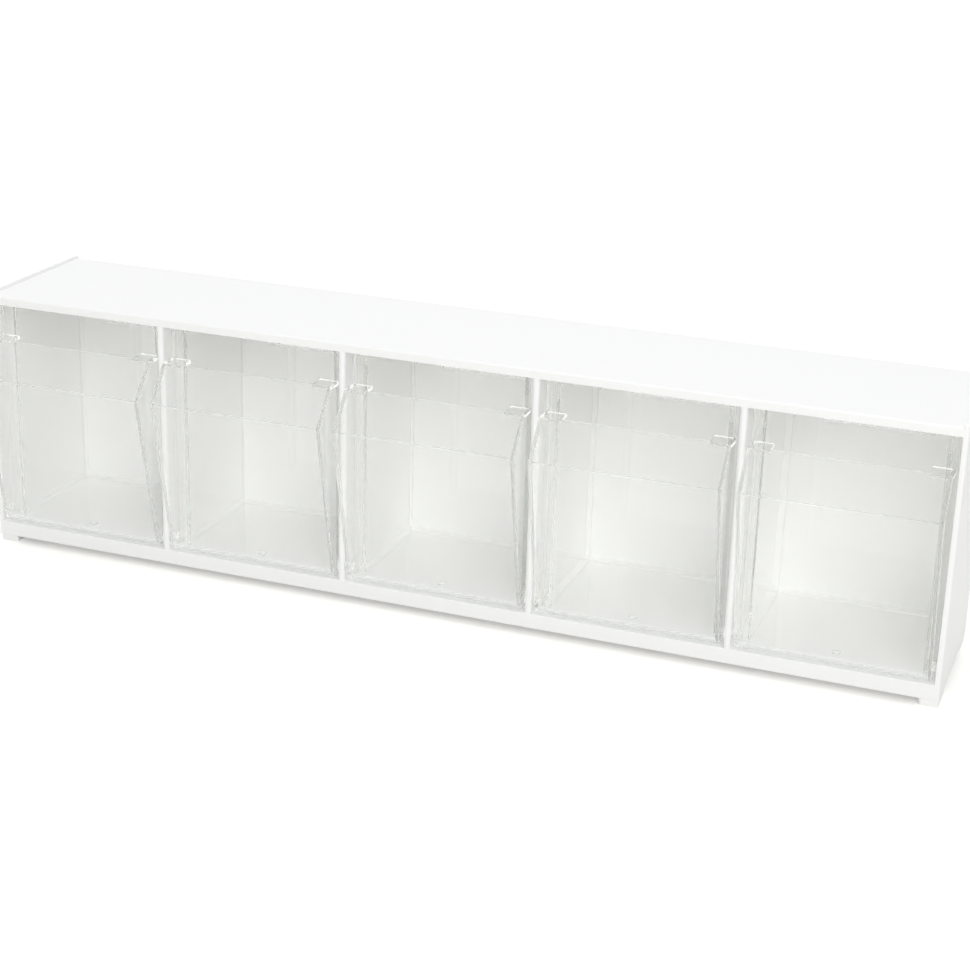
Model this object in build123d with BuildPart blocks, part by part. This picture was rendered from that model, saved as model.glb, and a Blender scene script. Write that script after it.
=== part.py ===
"""Five-bay tip-out bin cabinet: a white moulded housing and five clear bins that tilt forward.

Millimetres. +Z is up, the bins face -Y, and +X runs to the right along the front.
The origin is on the standing surface, under the middle of the cabinet's overall box.
Heights named *_height are measured up from the underside of the housing body, and
distances named *_setback are measured back from the housing's front face.
"""
import os
from math import asin, cos, degrees, radians, sin, sqrt, tan

from build123d import *

# ---------------------------------------------------------------- driving dimensions
bay_count = 5
cabinet_width = 600.0
housing_depth = 104.0
body_height = 158.6
foot_height = 4.5
rim_height = 2.0

# housing walls
end_thickness = 3.0
skin_thickness = 2.4
lip_height = 5.2
lip_thickness = 3.5
floor_height = 9.3
rail_thickness = 3.0
edge_round = 1.4
rail_round = 0.7
rib_thickness = 1.8
rib_lift = 1.5
foot_width = 11.5
foot_depth = 22.0
foot_round = 2.0
groove_depth = 1.2
groove_clearance = 0.1
tongue_thickness = 1.6

# dividers
bead_width = 4.2
bead_depth = 8.0
bead_nose_round = 2.0
web_thickness = 2.4
boss_radius = 5.6

# bins
bin_wall = 2.2
bin_side_clearance = 2.1
bin_floor_clearance = 0.3
bin_back_setback = 91.2
pivot_setback = 6.0
barrel_radius = 8.0
plate_lean = 12.0
ledge_rise = 21.0
finger_gap = 20.9
ledge_setback = -5.0
notch_setback = 8.0
shoulder_setback = 15.7
shoulder_step = 4.2
corner_radius = 3.0
plate_round = 0.8
gusset_width = 12.5
gusset_thickness = 2.0
weld = 0.5
ear_width = 16.0
ear_length = 30.0
nub_setback = 16.0
nub_radius = 2.6
nub_height = 0.6

# hinge pins and the stop
pin_radius = 2.5
pin_clearance = 0.1
pin_engagement = 1.8
pin_chamfer = 0.4
pin_hole_depth = 2.1
swing_clearance = 0.8
ear_clearance = 0.4
stop_gap = 0.5

# screw holes high in the back, for hanging the cabinet on a wall
screw_radius = 2.5
screw_drop = 20.6

# ---------------------------------------------------------------- derived places
lean = radians(plate_lean)
base_z = foot_height
top_z = base_z + body_height
floor_z = base_z + floor_height
skin_underside_z = top_z - skin_thickness
tongue_top_z = skin_underside_z + tongue_thickness
lip_bottom_z = top_z - lip_height
pivot_z = floor_z + bin_floor_clearance + barrel_radius
ledge_z = lip_bottom_z - finger_gap
ridge_z = ledge_z - ledge_rise

# the front plate is tangent to the round lower corner, which is concentric with the hinge
tangent_rise = barrel_radius * sin(lean)
ridge_setback = pivot_setback - barrel_radius * cos(lean) - (ridge_z - pivot_z + tangent_rise) * tan(lean)
ridge_reach = -ridge_setback
overall_depth = housing_depth + ridge_reach
front_y = ridge_reach - overall_depth / 2
back_y = front_y + housing_depth
ridge_y = front_y + ridge_setback
ledge_y = front_y + ledge_setback
notch_y = front_y + notch_setback
shoulder_y = front_y + shoulder_setback
pivot_y = front_y + pivot_setback
bin_back_y = front_y + bin_back_setback

inner_width = cabinet_width - 2 * end_thickness
tongue_width = inner_width + 2 * (groove_depth - groove_clearance)
bay_width = (inner_width - (bay_count - 1) * bead_width) / bay_count
bay_pitch = bay_width + bead_width
bay_centres = [bay_pitch * (i - (bay_count - 1) / 2) for i in range(bay_count)]
divider_centres = [x + bay_pitch / 2 for x in bay_centres[:-1]]
bin_width = bay_width - 2 * bin_side_clearance
box_width = bin_width - 2 * shoulder_step

swing_radius = lip_bottom_z - pivot_z - swing_clearance
ear_radius = skin_underside_z - pivot_z - ear_clearance
ear_face = bin_back_y - bin_wall - pivot_y
lip_back = front_y + lip_thickness - pivot_y
tilt_limit = degrees(asin(ear_face / ear_radius) - asin((lip_back + stop_gap) / ear_radius))

os.makedirs("parts", exist_ok=True)


def save(builder, name):
    """Label a finished piece and write it to its own file."""
    builder.part.label = name
    export_step(builder.part, f"parts/{name}.step")


# ---------------------------------------------------------------- housing sections
def channel_section(grow):
    """Top, back and bottom of the housing seen from the end, each grown by a clearance."""
    with BuildSketch(Plane.YZ) as section:
        with BuildLine():
            inside_y = back_y - skin_thickness - grow
            Polyline(
                (front_y + lip_thickness - grow, skin_underside_z - grow),
                (inside_y, skin_underside_z - grow),
                (inside_y, floor_z + grow),
                (front_y + rail_thickness - grow, floor_z + grow),
                (front_y + rail_thickness - grow, floor_z - skin_thickness - grow),
                (back_y - skin_thickness - grow, floor_z - skin_thickness - grow),
                (back_y - skin_thickness - grow, base_z),
                (back_y, base_z),
                (back_y, tongue_top_z + grow),
                (front_y + lip_thickness - grow, tongue_top_z + grow),
                close=True,
            )
        make_face()
    return section.sketch_local


def divider_grooves(plane_z):
    """Grooves across a horizontal panel, one under or over each divider web."""
    start_y = front_y + bead_depth / 2
    length = back_y - start_y
    with BuildSketch(Plane.XY.offset(plane_z)) as grooves:
        with Locations(*[(x, start_y + length / 2) for x in divider_centres]):
            Rectangle(web_thickness + 2 * groove_clearance, length)
    return grooves.sketch


def make_top_panel():
    """The plain top, with the lip that hangs down along its front edge."""
    with BuildPart() as top_panel:
        with BuildSketch(Plane.YZ):
            with BuildLine():
                Polyline(
                    (front_y, lip_bottom_z),
                    (front_y + lip_thickness, lip_bottom_z),
                    (front_y + lip_thickness, skin_underside_z),
                    (back_y, skin_underside_z),
                    (back_y, top_z),
                    (front_y, top_z),
                    close=True,
                )
            outline = make_face()
            front_corners = outline.vertices().group_by(Axis.X)[0]
            fillet(front_corners.sort_by(Axis.Y)[-1], edge_round)
        extrude(amount=inner_width / 2, both=True)
        with BuildSketch(Plane.YZ):
            with Locations((back_y, skin_underside_z)):
                Rectangle(housing_depth - lip_thickness, tongue_thickness, align=(Align.MAX, Align.MIN))
        extrude(amount=tongue_width / 2, both=True)
        extrude(divider_grooves(skin_underside_z), amount=groove_depth, mode=Mode.SUBTRACT)
    save(top_panel, "top_panel")


def make_bottom_panel():
    """The floor that the bins close down on, with its front rail and stiffening ribs."""
    with BuildPart() as bottom_panel:
        with BuildSketch(Plane.YZ):
            with BuildLine():
                floor_back_y = back_y - skin_thickness
                Polyline(
                    (front_y, base_z),
                    (front_y + rail_thickness, base_z),
                    (front_y + rail_thickness, floor_z - skin_thickness),
                    (floor_back_y, floor_z - skin_thickness),
                    (floor_back_y, floor_z),
                    (front_y, floor_z),
                    close=True,
                )
            make_face()
        extrude(amount=inner_width / 2, both=True)
        front_edges = bottom_panel.edges().filter_by(Axis.X).group_by(Axis.Y)[0]
        fillet(front_edges, rail_round)
        with BuildSketch(Plane.YZ):
            with Locations((floor_back_y, floor_z)):
                floor_length = floor_back_y - front_y - rail_thickness
                Rectangle(floor_length, skin_thickness, align=(Align.MAX, Align.MAX))
        extrude(amount=tongue_width / 2, both=True)
        with BuildSketch(Plane.XY.offset(base_z + rib_lift)):
            rib_start = front_y + rail_thickness
            with Locations(*[(x, rib_start) for x in divider_centres]):
                Rectangle(rib_thickness, floor_length, align=(Align.CENTER, Align.MIN))
        extrude(amount=floor_height - rib_lift - skin_thickness)
        extrude(divider_grooves(floor_z), amount=-groove_depth, mode=Mode.SUBTRACT)
    save(bottom_panel, "bottom_panel")


def make_back_panel():
    """The back, grooved for the dividers and drilled for wall screws."""
    with BuildPart() as back_panel:
        with BuildSketch(Plane.XZ.offset(-back_y)):
            with Locations((0, (base_z + skin_underside_z) / 2)):
                Rectangle(tongue_width, skin_underside_z - base_z)
        extrude(amount=skin_thickness)
        with BuildSketch(Plane.XZ.offset(-back_y + skin_thickness)):
            with Locations(*[(x, skin_underside_z) for x in divider_centres]):
                groove_width = web_thickness + 2 * groove_clearance
                groove_height = skin_underside_z - floor_z + groove_depth
                Rectangle(groove_width, groove_height, align=(Align.CENTER, Align.MAX))
        extrude(amount=-groove_depth, mode=Mode.SUBTRACT)
        with Locations(Plane.XZ.offset(-back_y + skin_thickness)):
            with Locations(*[(x, top_z - screw_drop) for x in (bay_centres[0], bay_centres[-1])]):
                Hole(screw_radius, depth=skin_thickness)
    save(back_panel, "back_panel")


def make_end_panel(side, name):
    """An end wall with its stacking rim, two feet and the outer hinge hole of the end bin."""
    outer_x = side * cabinet_width / 2
    inner_x = outer_x - side * end_thickness
    with BuildPart() as end_panel:
        with BuildSketch(Plane.YZ.offset(inner_x)):
            with Locations(((front_y + back_y) / 2, base_z)):
                wall = Rectangle(housing_depth, body_height + rim_height, align=(Align.CENTER, Align.MIN))
            fillet(wall.vertices().group_by(Axis.Y)[-1], edge_round)
        extrude(amount=side * end_thickness)
        outer_face = end_panel.faces().sort_by(Axis.X)[0 if side < 0 else -1]
        fillet(outer_face.edges().sort_by(Axis.Z)[1:], edge_round)
        with BuildSketch(Plane.XY.offset(base_z)):
            foot_x = outer_x - side * foot_width / 2
            front_foot_y = front_y + edge_round + foot_depth / 2
            rear_foot_y = back_y - edge_round - foot_depth / 2
            with Locations((foot_x, front_foot_y), (foot_x, rear_foot_y)):
                RectangleRounded(foot_width, foot_depth, foot_round)
        extrude(amount=-foot_height)
        with BuildSketch(Plane.YZ.offset(inner_x)):
            add(channel_section(groove_clearance))
        extrude(amount=side * groove_depth, mode=Mode.SUBTRACT)
        with BuildSketch(Plane.YZ.offset(inner_x)):
            with Locations((pivot_y, pivot_z)):
                Circle(pin_radius + pin_clearance)
        extrude(amount=side * pin_hole_depth, mode=Mode.SUBTRACT)
    save(end_panel, name)


def make_divider(centre_x, name):
    """A thin web with a round-nosed front bead and the hinge holes of the two bins beside it."""
    with BuildPart() as divider:
        with BuildSketch(Plane.YZ.offset(centre_x)):
            web_start = front_y + bead_depth / 2
            web_end = back_y - skin_thickness + groove_depth - groove_clearance
            web_bottom = floor_z - groove_depth + groove_clearance
            web_top = skin_underside_z + groove_depth - groove_clearance
            with Locations(((web_start + web_end) / 2, (web_bottom + web_top) / 2)):
                Rectangle(web_end - web_start, web_top - web_bottom)
        extrude(amount=web_thickness / 2, both=True)
        with BuildSketch(Plane.XY.offset(floor_z)):
            with Locations((centre_x, front_y + bead_depth / 2)):
                bead = Rectangle(bead_width, bead_depth)
            nose = bead.vertices().group_by(Axis.Y)[0]
            fillet(nose, bead_nose_round)
        extrude(amount=lip_bottom_z - floor_z)
        with BuildSketch(Plane.YZ.offset(centre_x)):
            with Locations((pivot_y, pivot_z)):
                Circle(boss_radius)
        extrude(amount=bead_width / 2, both=True)
        with BuildSketch(Plane.YZ.offset(centre_x)):
            with Locations((pivot_y, pivot_z)):
                Circle(pin_radius + pin_clearance)
        extrude(amount=bead_width, both=True, mode=Mode.SUBTRACT)
    save(divider, name)


# ---------------------------------------------------------------- bins
def bin_outline():
    """The bin's outer skin seen from the side, carried up past every finished edge."""
    with BuildSketch(Plane.YZ) as outline:
        with BuildLine():
            bottom = Line((bin_back_y, pivot_z - barrel_radius), (pivot_y, pivot_z - barrel_radius))
            barrel = CenterArc((pivot_y, pivot_z), barrel_radius, -90, -90 + plate_lean)
            Polyline(
                barrel @ 1,
                (ridge_y, ridge_z),
                (ledge_y, ledge_z),
                (ledge_y, top_z),
                (bin_back_y, top_z),
                bottom @ 0,
            )
        make_face()
    return outline.sketch_local


def bin_side_profile(front_only):
    """The finished side: the swing arc on top and the finger notch cut out in front."""
    with BuildSketch(Plane.YZ) as profile:
        add(bin_outline())
        with Locations((pivot_y, pivot_z)):
            Circle(swing_radius, mode=Mode.INTERSECT)
        with Locations((notch_y, ledge_z)):
            Rectangle(notch_y - ridge_y, top_z, align=(Align.MAX, Align.MIN), mode=Mode.SUBTRACT)
        if front_only:
            with Locations((shoulder_y, base_z)):
                Rectangle(shoulder_y - ridge_y, top_z, align=(Align.MAX, Align.MIN), mode=Mode.INTERSECT)
    return profile.sketch_local


def make_hollow(front_only, width):
    """The space inside the bin: the narrow box, or the wide part in front of the shoulder."""
    with BuildPart() as hollow:
        with BuildSketch(Plane.YZ):
            offset(bin_outline(), amount=-bin_wall, kind=Kind.INTERSECTION)
            if front_only:
                with Locations((shoulder_y - bin_wall, base_z)):
                    Rectangle(shoulder_y - ridge_y, top_z, align=(Align.MAX, Align.MIN), mode=Mode.INTERSECT)
        extrude(amount=width / 2, both=True)
        inner_radius = corner_radius - bin_wall
        if not front_only:
            fillet(hollow.edges().filter_by(Axis.Z).group_by(Axis.Y)[-1], inner_radius)
    return hollow.part


def make_bin(centre_x, name):
    """A clear bin: narrow box behind, full-width wedge front, hinge pins and stop ears."""
    with BuildPart() as tilt_bin:
        with BuildSketch(Plane.YZ):
            add(bin_side_profile(front_only=False))
        extrude(amount=box_width / 2, both=True)
        fillet(tilt_bin.edges().filter_by(Axis.Z).group_by(Axis.Y)[-1], corner_radius)
        with BuildSketch(Plane.YZ):
            add(bin_side_profile(front_only=True))
        extrude(amount=bin_width / 2, both=True)
        below_ledge = tilt_bin.edges().filter_by_position(Axis.Z, floor_z, ledge_z, inclusive=(True, False))
        plate_edges = below_ledge.filter_by_position(Axis.Y, ridge_y, front_y, inclusive=(True, False))
        fillet(plate_edges, plate_round)
        # stop ears: the back wall carried up at both corners, to catch the lip when tipped out
        with BuildSketch(Plane.XZ.offset(-bin_back_y)):
            ear_top = pivot_z + sqrt(ear_radius**2 - (bin_back_y - pivot_y) ** 2)
            ear_x = box_width / 2 - corner_radius - ear_width / 2
            with Locations((-ear_x, ear_top), (ear_x, ear_top)):
                Rectangle(ear_width, ear_length, align=(Align.CENTER, Align.MAX))
        extrude(amount=bin_wall)
        add(make_hollow(False, box_width - 2 * bin_wall), mode=Mode.SUBTRACT)
        add(make_hollow(True, bin_width - 2 * bin_wall), mode=Mode.SUBTRACT)
        # flat gussets in the two corners of the ledge, let into the walls around them by a small weld
        with BuildSketch(Plane.XY.offset(ledge_z)):
            gusset_x = (bin_width - gusset_width - weld) / 2
            with Locations((-gusset_x, notch_y), (gusset_x, notch_y)):
                Rectangle(gusset_width - weld, notch_y - ledge_y - weld, align=(Align.CENTER, Align.MAX))
        extrude(amount=-gusset_thickness)
        # moulding nub inside, at the middle of the front of the floor
        with BuildSketch(Plane.XY.offset(pivot_z - barrel_radius + bin_wall)):
            with Locations((0, front_y + nub_setback)):
                Circle(nub_radius)
        extrude(amount=nub_height)
        # hinge pins, moulded on the cheeks
        for side in (-1, 1):
            with BuildSketch(Plane.YZ.offset(side * bin_width / 2)):
                with Locations((pivot_y, pivot_z)):
                    Circle(pin_radius)
            extrude(amount=side * (bin_side_clearance + pin_engagement))
        end_faces = tilt_bin.faces().filter_by(Axis.X).sort_by(Axis.X)
        chamfer(end_faces[0].edges() + end_faces[-1].edges(), pin_chamfer)
    tilt_bin.part.position = (centre_x, 0, 0)
    save(tilt_bin, name)


make_top_panel()
make_bottom_panel()
make_back_panel()
make_end_panel(-1, "left_end_panel")
make_end_panel(1, "right_end_panel")
for number, centre in enumerate(divider_centres, start=1):
    make_divider(centre, f"divider_{number}")
for number, centre in enumerate(bay_centres, start=1):
    make_bin(centre, f"bin_{number}")

print(f"overall {cabinet_width:.2f} x {overall_depth:.2f} x {foot_height + body_height + rim_height:.2f} mm")
print(f"front face y {front_y:.3f}, hinge y {pivot_y:.3f} z {pivot_z:.3f}, tilt {tilt_limit:.2f} degrees")
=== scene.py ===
"""Looks of the five-bay tip-out bin cabinet: white moulded housing, clear bins, pale studio.

Metres. The frame is the cabinet's own: the bins face -Y, +X runs right, the floor is at Z = 0.
"""
import math

import bpy
from mathutils import Matrix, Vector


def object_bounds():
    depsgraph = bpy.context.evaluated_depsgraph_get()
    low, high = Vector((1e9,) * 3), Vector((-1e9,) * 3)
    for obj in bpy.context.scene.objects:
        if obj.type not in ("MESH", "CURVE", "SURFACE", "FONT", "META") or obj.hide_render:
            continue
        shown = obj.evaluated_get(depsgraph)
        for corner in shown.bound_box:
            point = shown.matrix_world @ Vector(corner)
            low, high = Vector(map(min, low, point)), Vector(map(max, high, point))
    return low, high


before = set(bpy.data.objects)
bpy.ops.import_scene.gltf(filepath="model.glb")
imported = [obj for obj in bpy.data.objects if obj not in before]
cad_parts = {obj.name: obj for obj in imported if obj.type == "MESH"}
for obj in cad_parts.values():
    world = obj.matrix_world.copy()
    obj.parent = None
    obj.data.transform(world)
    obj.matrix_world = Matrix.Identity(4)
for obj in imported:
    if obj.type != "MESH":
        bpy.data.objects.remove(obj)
cad_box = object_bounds()

# ---------------------------------------------------------------- camera, fitted to the photograph
IMAGE_WIDTH, IMAGE_HEIGHT = 970, 971
FOCAL_PIXELS = 2024
CAMERA_PLACE = (0.4072, -1.0685, 0.4991)
CAMERA_YAW = math.radians(20.09)
CAMERA_PITCH = math.radians(20.53)
CAMERA_ROLL = math.radians(1.60)
SENSOR_WIDTH = 36.0
NEAREST_SEEN, FARTHEST_SEEN = 0.05, 30.0

# ---------------------------------------------------------------- moulded skin of both plastics
FLOW_STREAKS_PER_METRE = (6.0, 22.0, 40.0)
FLOW_STREAK_DETAIL = 4.0
AS_MAPPED = 1.0
NOISE_MIDDLE = 0.5
FULL_TONE = 1.0
HANDLING_MARKS_PER_METRE = 34.0
HANDLING_MARK_DETAIL = 6.0
HANDLING_MARK_HARSHNESS = 0.62
UNTOUCHED, MOST_HANDLED = 0.35, 0.65
PEEL_DETAIL = 2.0

# ---------------------------------------------------------------- white plastic of the housing
WHITE_PLASTIC = (0.950, 0.951, 0.943)
WHITE_IOR = 1.5
WHITE_SPECULAR_LEVEL = 0.4
WHITE_STREAK = 0.012
WHITE_SMOOTHEST, WHITE_ROUGHEST = 0.34, 0.44
WHITE_PEEL_PER_METRE = 1100.0
WHITE_PEEL_STRENGTH = 0.08
WHITE_PEEL_HEIGHT = 0.0004

# ---------------------------------------------------------------- clear plastic of the bins
CLEAR_TINT = (0.995, 0.997, 0.993)
CLEAR_IOR = 1.58
ALL_CLEAR = 1.0
CLEAR_STREAK = 0.006
CLEAR_SMOOTHEST, CLEAR_ROUGHEST = 0.004, 0.018
CLEAR_DEPTH_COLOUR = (0.74, 0.76, 0.72)
CLEAR_DEPTH_DENSITY = 7.0
CLEAR_DEEPEST_BEND = 8.5

# ---------------------------------------------------------------- how far light is followed
CLEAR_WALLS_IN_A_ROW = 32
BENDS_IN_A_CLEAR_WALL = 20
MIRRORINGS_IN_A_CLEAR_WALL = 12
LIGHT_BOUNCES_IN_A_BIN = 8

# ---------------------------------------------------------------- studio
PLAIN_WHITE = (1.0, 1.0, 1.0)
FLOOR_SIZE = 12.0
FLOOR_COLOUR = (0.94, 0.93, 0.90)
FLOOR_NEAR, FLOOR_FAR = 0.35, 2.8
FLOOR_LIFT_NEAR, FLOOR_LIFT_FAR = 0.26, 0.80
DAYLIGHT_COLOUR = (0.97, 0.99, 1.0)
DAYLIGHT_STRENGTH = 0.34
BACKDROP_STRENGTH = 1.0
# name, place, width, height, watts
SOFTBOXES = (
    ("key_softbox", (1.0, -2.0, 1.4), 2.2, 1.8, 33.5),
    ("top_softbox", (-0.1, 0.2, 2.6), 2.4, 1.8, 29.0),
    ("back_softbox", (-1.1, 2.3, 0.7), 2.2, 0.8, 13.0),
)


# ---------------------------------------------------------------- node helpers
def opaque(colour):
    """A colour with full alpha, as a colour socket wants it."""
    return (*colour, 1)


def set_constants(node, constants):
    """Plain values on a node's own sockets."""
    for socket, value in constants.items():
        node.inputs[socket].default_value = value


def new_node(tree, kind, constants=None, operation=None):
    """A node of this kind, with its operation and its constants."""
    node = tree.nodes.new(kind)
    if operation is not None:
        node.operation = operation
    if constants is not None:
        set_constants(node, constants)
    return node


def largest(tree, *masks):
    """The output that gives the largest of several masks."""
    together = masks[0]
    for mask in masks[1:]:
        pick = new_node(tree, "ShaderNodeMath", operation="MAXIMUM")
        tree.links.new(together, pick.inputs[0])
        tree.links.new(mask, pick.inputs[1])
        together = pick.outputs[0]
    return together


def seen_by_camera(tree):
    """Mask of the rays that show the camera a surface: straight, mirrored or through plastic."""
    path = new_node(tree, "ShaderNodeLightPath")
    ways = ("Is Camera Ray", "Is Glossy Ray", "Is Transmission Ray")
    return largest(tree, *(path.outputs[way] for way in ways))


def new_material(name):
    """A node material with nothing but its output node, as material, node tree and output."""
    material = bpy.data.materials.new(name)
    material.use_nodes = True
    tree = material.node_tree
    tree.nodes.clear()
    return material, tree, tree.nodes.new("ShaderNodeOutputMaterial")


# ---------------------------------------------------------------- finishes
def moulded_skin_group():
    """Surface of moulded plastic: fine orange peel, faint flow streaks and handling marks."""
    group = bpy.data.node_groups.new("moulded_skin", "ShaderNodeTree")
    for name, direction, kind in (
        ("Base", "INPUT", "NodeSocketColor"),
        ("Streak", "INPUT", "NodeSocketFloat"),
        ("Smoothest", "INPUT", "NodeSocketFloat"),
        ("Roughest", "INPUT", "NodeSocketFloat"),
        ("Peel Scale", "INPUT", "NodeSocketFloat"),
        ("Colour", "OUTPUT", "NodeSocketColor"),
        ("Roughness", "OUTPUT", "NodeSocketFloat"),
        ("Peel", "OUTPUT", "NodeSocketFloat"),
    ):
        group.interface.new_socket(name=name, in_out=direction, socket_type=kind)
    links = group.links
    entry = group.nodes.new("NodeGroupInput")
    leave = group.nodes.new("NodeGroupOutput")
    place = new_node(group, "ShaderNodeTexCoord")

    # faint streaks of colour, drawn out along the length of the cabinet
    stretch = new_node(group, "ShaderNodeMapping", {"Scale": FLOW_STREAKS_PER_METRE})
    flow = new_node(group, "ShaderNodeTexNoise", {"Scale": AS_MAPPED, "Detail": FLOW_STREAK_DETAIL})
    centred = new_node(group, "ShaderNodeMath", {1: NOISE_MIDDLE}, "SUBTRACT")
    shade = new_node(group, "ShaderNodeMath", {2: FULL_TONE}, "MULTIPLY_ADD")
    tone = new_node(group, "ShaderNodeVectorMath", operation="SCALE")
    links.new(place.outputs["Object"], stretch.inputs["Vector"])
    links.new(stretch.outputs["Vector"], flow.inputs["Vector"])
    links.new(flow.outputs["Fac"], centred.inputs[0])
    links.new(centred.outputs[0], shade.inputs[0])
    links.new(entry.outputs["Streak"], shade.inputs[1])
    links.new(entry.outputs["Base"], tone.inputs[0])
    links.new(shade.outputs[0], tone.inputs["Scale"])
    links.new(tone.outputs["Vector"], leave.inputs["Colour"])

    # patches that hands have dulled or polished
    handling = new_node(group, "ShaderNodeTexNoise", {
        "Scale": HANDLING_MARKS_PER_METRE,
        "Detail": HANDLING_MARK_DETAIL,
        "Roughness": HANDLING_MARK_HARSHNESS,
    })
    wear = new_node(group, "ShaderNodeMapRange", {"From Min": UNTOUCHED, "From Max": MOST_HANDLED})
    links.new(place.outputs["Object"], handling.inputs["Vector"])
    links.new(handling.outputs["Fac"], wear.inputs["Value"])
    links.new(entry.outputs["Smoothest"], wear.inputs["To Min"])
    links.new(entry.outputs["Roughest"], wear.inputs["To Max"])
    links.new(wear.outputs["Result"], leave.inputs["Roughness"])

    # orange peel, as a height
    peel = new_node(group, "ShaderNodeTexNoise", {"Detail": PEEL_DETAIL})
    links.new(place.outputs["Object"], peel.inputs["Vector"])
    links.new(entry.outputs["Peel Scale"], peel.inputs["Scale"])
    links.new(peel.outputs["Fac"], leave.inputs["Peel"])
    return group


def skinned_shader(tree, skin_group, shader_constants, skin_constants):
    """A Principled shader, and the moulded skin node that gives it its colour and roughness."""
    shader = new_node(tree, "ShaderNodeBsdfPrincipled", shader_constants)
    skin = new_node(tree, "ShaderNodeGroup")
    skin.node_tree = skin_group
    set_constants(skin, skin_constants)
    tree.links.new(skin.outputs["Colour"], shader.inputs["Base Color"])
    tree.links.new(skin.outputs["Roughness"], shader.inputs["Roughness"])
    return shader, skin


def housing_material(skin_group):
    """Satin white polystyrene."""
    material, tree, output = new_material("white_moulded_plastic")
    shader, skin = skinned_shader(
        tree,
        skin_group,
        {"IOR": WHITE_IOR, "Specular IOR Level": WHITE_SPECULAR_LEVEL},
        {
            "Base": opaque(WHITE_PLASTIC),
            "Streak": WHITE_STREAK,
            "Smoothest": WHITE_SMOOTHEST,
            "Roughest": WHITE_ROUGHEST,
            "Peel Scale": WHITE_PEEL_PER_METRE,
        },
    )
    bump = new_node(
        tree, "ShaderNodeBump", {"Strength": WHITE_PEEL_STRENGTH, "Distance": WHITE_PEEL_HEIGHT}
    )
    tree.links.new(skin.outputs["Peel"], bump.inputs["Height"])
    tree.links.new(bump.outputs["Normal"], shader.inputs["Normal"])
    tree.links.new(shader.outputs["BSDF"], output.inputs["Surface"])
    return material


def clear_material(skin_group):
    """Clear polished polystyrene, greyer where the view runs along a wall.

    Light on its way to a white wall, from a lamp or from another white wall, goes straight through.
    So does a ray that has bent or mirrored too often, which would otherwise end as a black speck.
    """
    material, tree, output = new_material("clear_polystyrene")
    shader, _ = skinned_shader(
        tree,
        skin_group,
        {"IOR": CLEAR_IOR, "Transmission Weight": ALL_CLEAR},
        {
            "Base": opaque(CLEAR_TINT),
            "Streak": CLEAR_STREAK,
            "Smoothest": CLEAR_SMOOTHEST,
            "Roughest": CLEAR_ROUGHEST,
        },
    )
    open_way = new_node(tree, "ShaderNodeBsdfTransparent", {"Color": opaque(PLAIN_WHITE)})
    path = new_node(tree, "ShaderNodeLightPath")
    trapped = new_node(tree, "ShaderNodeMath", {1: CLEAR_DEEPEST_BEND}, "GREATER_THAN")
    tree.links.new(path.outputs["Ray Depth"], trapped.inputs[0])
    straight_through = largest(
        tree, path.outputs["Is Shadow Ray"], path.outputs["Is Diffuse Ray"], trapped.outputs[0]
    )
    mixed = new_node(tree, "ShaderNodeMixShader")
    tree.links.new(straight_through, mixed.inputs[0])
    tree.links.new(shader.outputs["BSDF"], mixed.inputs[1])
    tree.links.new(open_way.outputs["BSDF"], mixed.inputs[2])
    tree.links.new(mixed.outputs["Shader"], output.inputs["Surface"])
    depth = new_node(tree, "ShaderNodeVolumeAbsorption", {
        "Color": opaque(CLEAR_DEPTH_COLOUR),
        "Density": CLEAR_DEPTH_DENSITY,
    })
    tree.links.new(depth.outputs["Volume"], output.inputs["Volume"])
    return material


plastic_skin = moulded_skin_group()
white_plastic = housing_material(plastic_skin)
clear_plastic = clear_material(plastic_skin)
for name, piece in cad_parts.items():
    finish = clear_plastic if name.startswith("bin_") else white_plastic
    for slot in piece.material_slots:
        slot.material = finish


# ---------------------------------------------------------------- studio
def make_floor():
    """A pale floor that keeps the cabinet's shadow near it and is plain white farther off."""
    bpy.ops.object.select_all(action="DESELECT")
    bpy.ops.mesh.primitive_plane_add(size=FLOOR_SIZE, location=(0, 0, 0))
    floor = bpy.context.object
    floor.name = "studio_floor"
    material, tree, output = new_material("pale_floor")
    links = tree.links
    matt = new_node(tree, "ShaderNodeBsdfDiffuse", {"Color": opaque(FLOOR_COLOUR)})
    glow = new_node(tree, "ShaderNodeEmission", {"Color": opaque(PLAIN_WHITE)})
    place = new_node(tree, "ShaderNodeTexCoord")
    distance = new_node(tree, "ShaderNodeVectorMath", operation="LENGTH")
    rise = new_node(tree, "ShaderNodeMapRange", {
        "From Min": FLOOR_NEAR,
        "From Max": FLOOR_FAR,
        "To Min": FLOOR_LIFT_NEAR,
        "To Max": FLOOR_LIFT_FAR,
    })
    lift = new_node(tree, "ShaderNodeMath", operation="MULTIPLY")
    both = new_node(tree, "ShaderNodeAddShader")
    links.new(place.outputs["Object"], distance.inputs[0])
    links.new(distance.outputs["Value"], rise.inputs["Value"])
    links.new(seen_by_camera(tree), lift.inputs[0])
    links.new(rise.outputs["Result"], lift.inputs[1])
    links.new(lift.outputs[0], glow.inputs["Strength"])
    links.new(matt.outputs["BSDF"], both.inputs[0])
    links.new(glow.outputs["Emission"], both.inputs[1])
    links.new(both.outputs["Shader"], output.inputs["Surface"])
    floor.data.materials.append(material)


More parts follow.
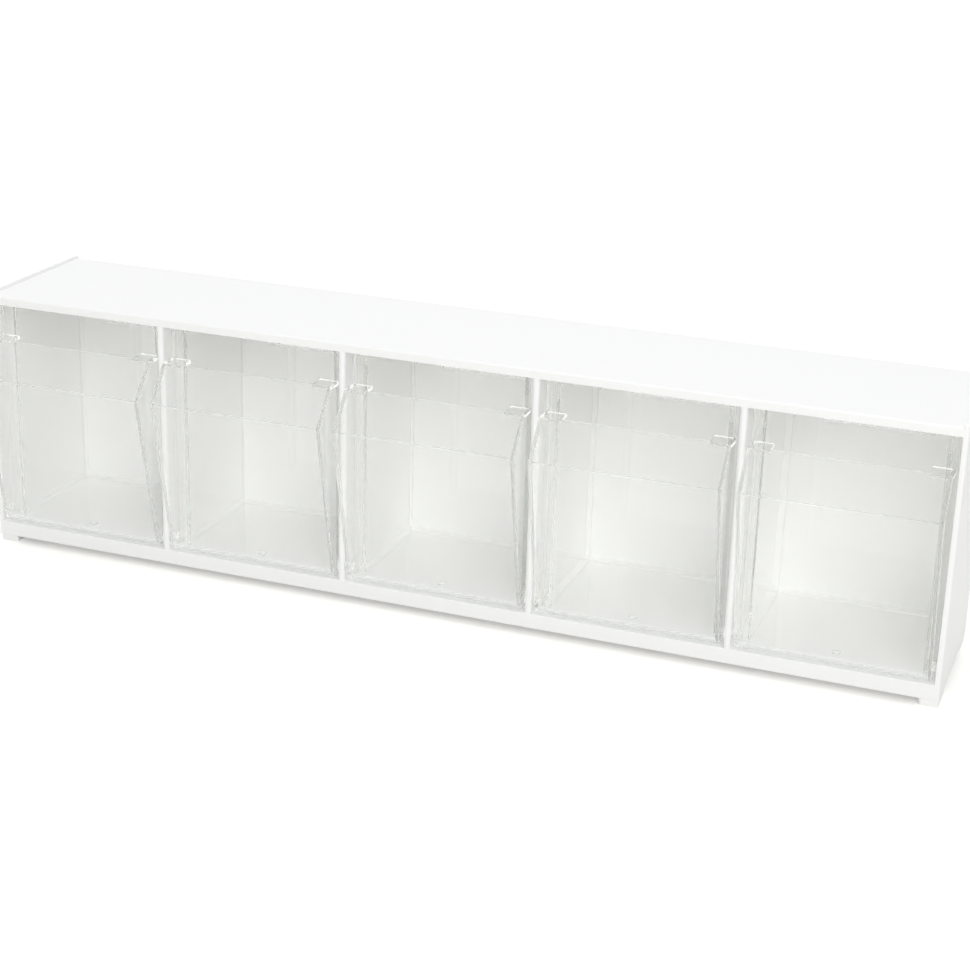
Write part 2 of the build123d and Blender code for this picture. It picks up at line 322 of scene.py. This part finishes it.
def make_world():
    """Even soft daylight, which the camera sees as white, also mirrored and through plastic."""
    world = bpy.data.worlds.new("studio")
    bpy.context.scene.world = world
    world.use_nodes = True
    tree = world.node_tree
    tree.nodes.clear()
    output = tree.nodes.new("ShaderNodeOutputWorld")
    daylight = new_node(
        tree,
        "ShaderNodeBackground",
        {"Color": opaque(DAYLIGHT_COLOUR), "Strength": DAYLIGHT_STRENGTH},
    )
    backdrop = new_node(
        tree, "ShaderNodeBackground", {"Color": opaque(PLAIN_WHITE), "Strength": BACKDROP_STRENGTH}
    )
    mixed = new_node(tree, "ShaderNodeMixShader")
    tree.links.new(seen_by_camera(tree), mixed.inputs[0])
    tree.links.new(daylight.outputs[0], mixed.inputs[1])
    tree.links.new(backdrop.outputs[0], mixed.inputs[2])
    tree.links.new(mixed.outputs[0], output.inputs["Surface"])


def make_softbox(name, place, width, height, watts, aim):
    """A rectangular lamp that faces a point and leaves no mirror image of itself on the plastic."""
    lamp = bpy.data.lights.new(name, "AREA")
    lamp.shape = "RECTANGLE"
    lamp.size = width
    lamp.size_y = height
    lamp.energy = watts
    holder = bpy.data.objects.new(name, lamp)
    bpy.context.scene.collection.objects.link(holder)
    holder.location = place
    away = holder.location - aim
    holder.rotation_mode = "QUATERNION"
    holder.rotation_quaternion = away.to_track_quat("Z", "Y")
    holder.visible_glossy = False


def make_camera():
    """The photograph's view of the cabinet."""
    lens = bpy.data.cameras.new("photo_camera")
    lens.sensor_width = SENSOR_WIDTH
    lens.lens = FOCAL_PIXELS * SENSOR_WIDTH / max(IMAGE_WIDTH, IMAGE_HEIGHT)
    lens.clip_start, lens.clip_end = NEAREST_SEEN, FARTHEST_SEEN
    camera = bpy.data.objects.new("photo_camera", lens)
    bpy.context.scene.collection.objects.link(camera)
    turn = Matrix.Rotation(CAMERA_YAW, 4, "Z")
    tip = Matrix.Rotation(math.pi / 2 - CAMERA_PITCH, 4, "X")
    roll = Matrix.Rotation(CAMERA_ROLL, 4, "Z")
    camera.matrix_world = Matrix.Translation(CAMERA_PLACE) @ turn @ tip @ roll
    bpy.context.scene.camera = camera


cabinet_middle = (cad_box[0] + cad_box[1]) / 2
make_floor()
make_world()
for softbox in SOFTBOXES:
    make_softbox(*softbox, cabinet_middle)
make_camera()
bpy.context.scene.view_settings.view_transform = "Standard"
# light crosses many clear walls and bounces often between white ones before it has filled a bin,
# and a line of sight that runs along a clear wall mirrors inside it many times
bpy.context.scene.cycles.transparent_max_bounces = CLEAR_WALLS_IN_A_ROW
bpy.context.scene.cycles.diffuse_bounces = LIGHT_BOUNCES_IN_A_BIN
bpy.context.scene.cycles.transmission_bounces = BENDS_IN_A_CLEAR_WALL
bpy.context.scene.cycles.glossy_bounces = MIRRORINGS_IN_A_CLEAR_WALL
bpy.context.scene.cycles.max_bounces = CLEAR_WALLS_IN_A_ROW
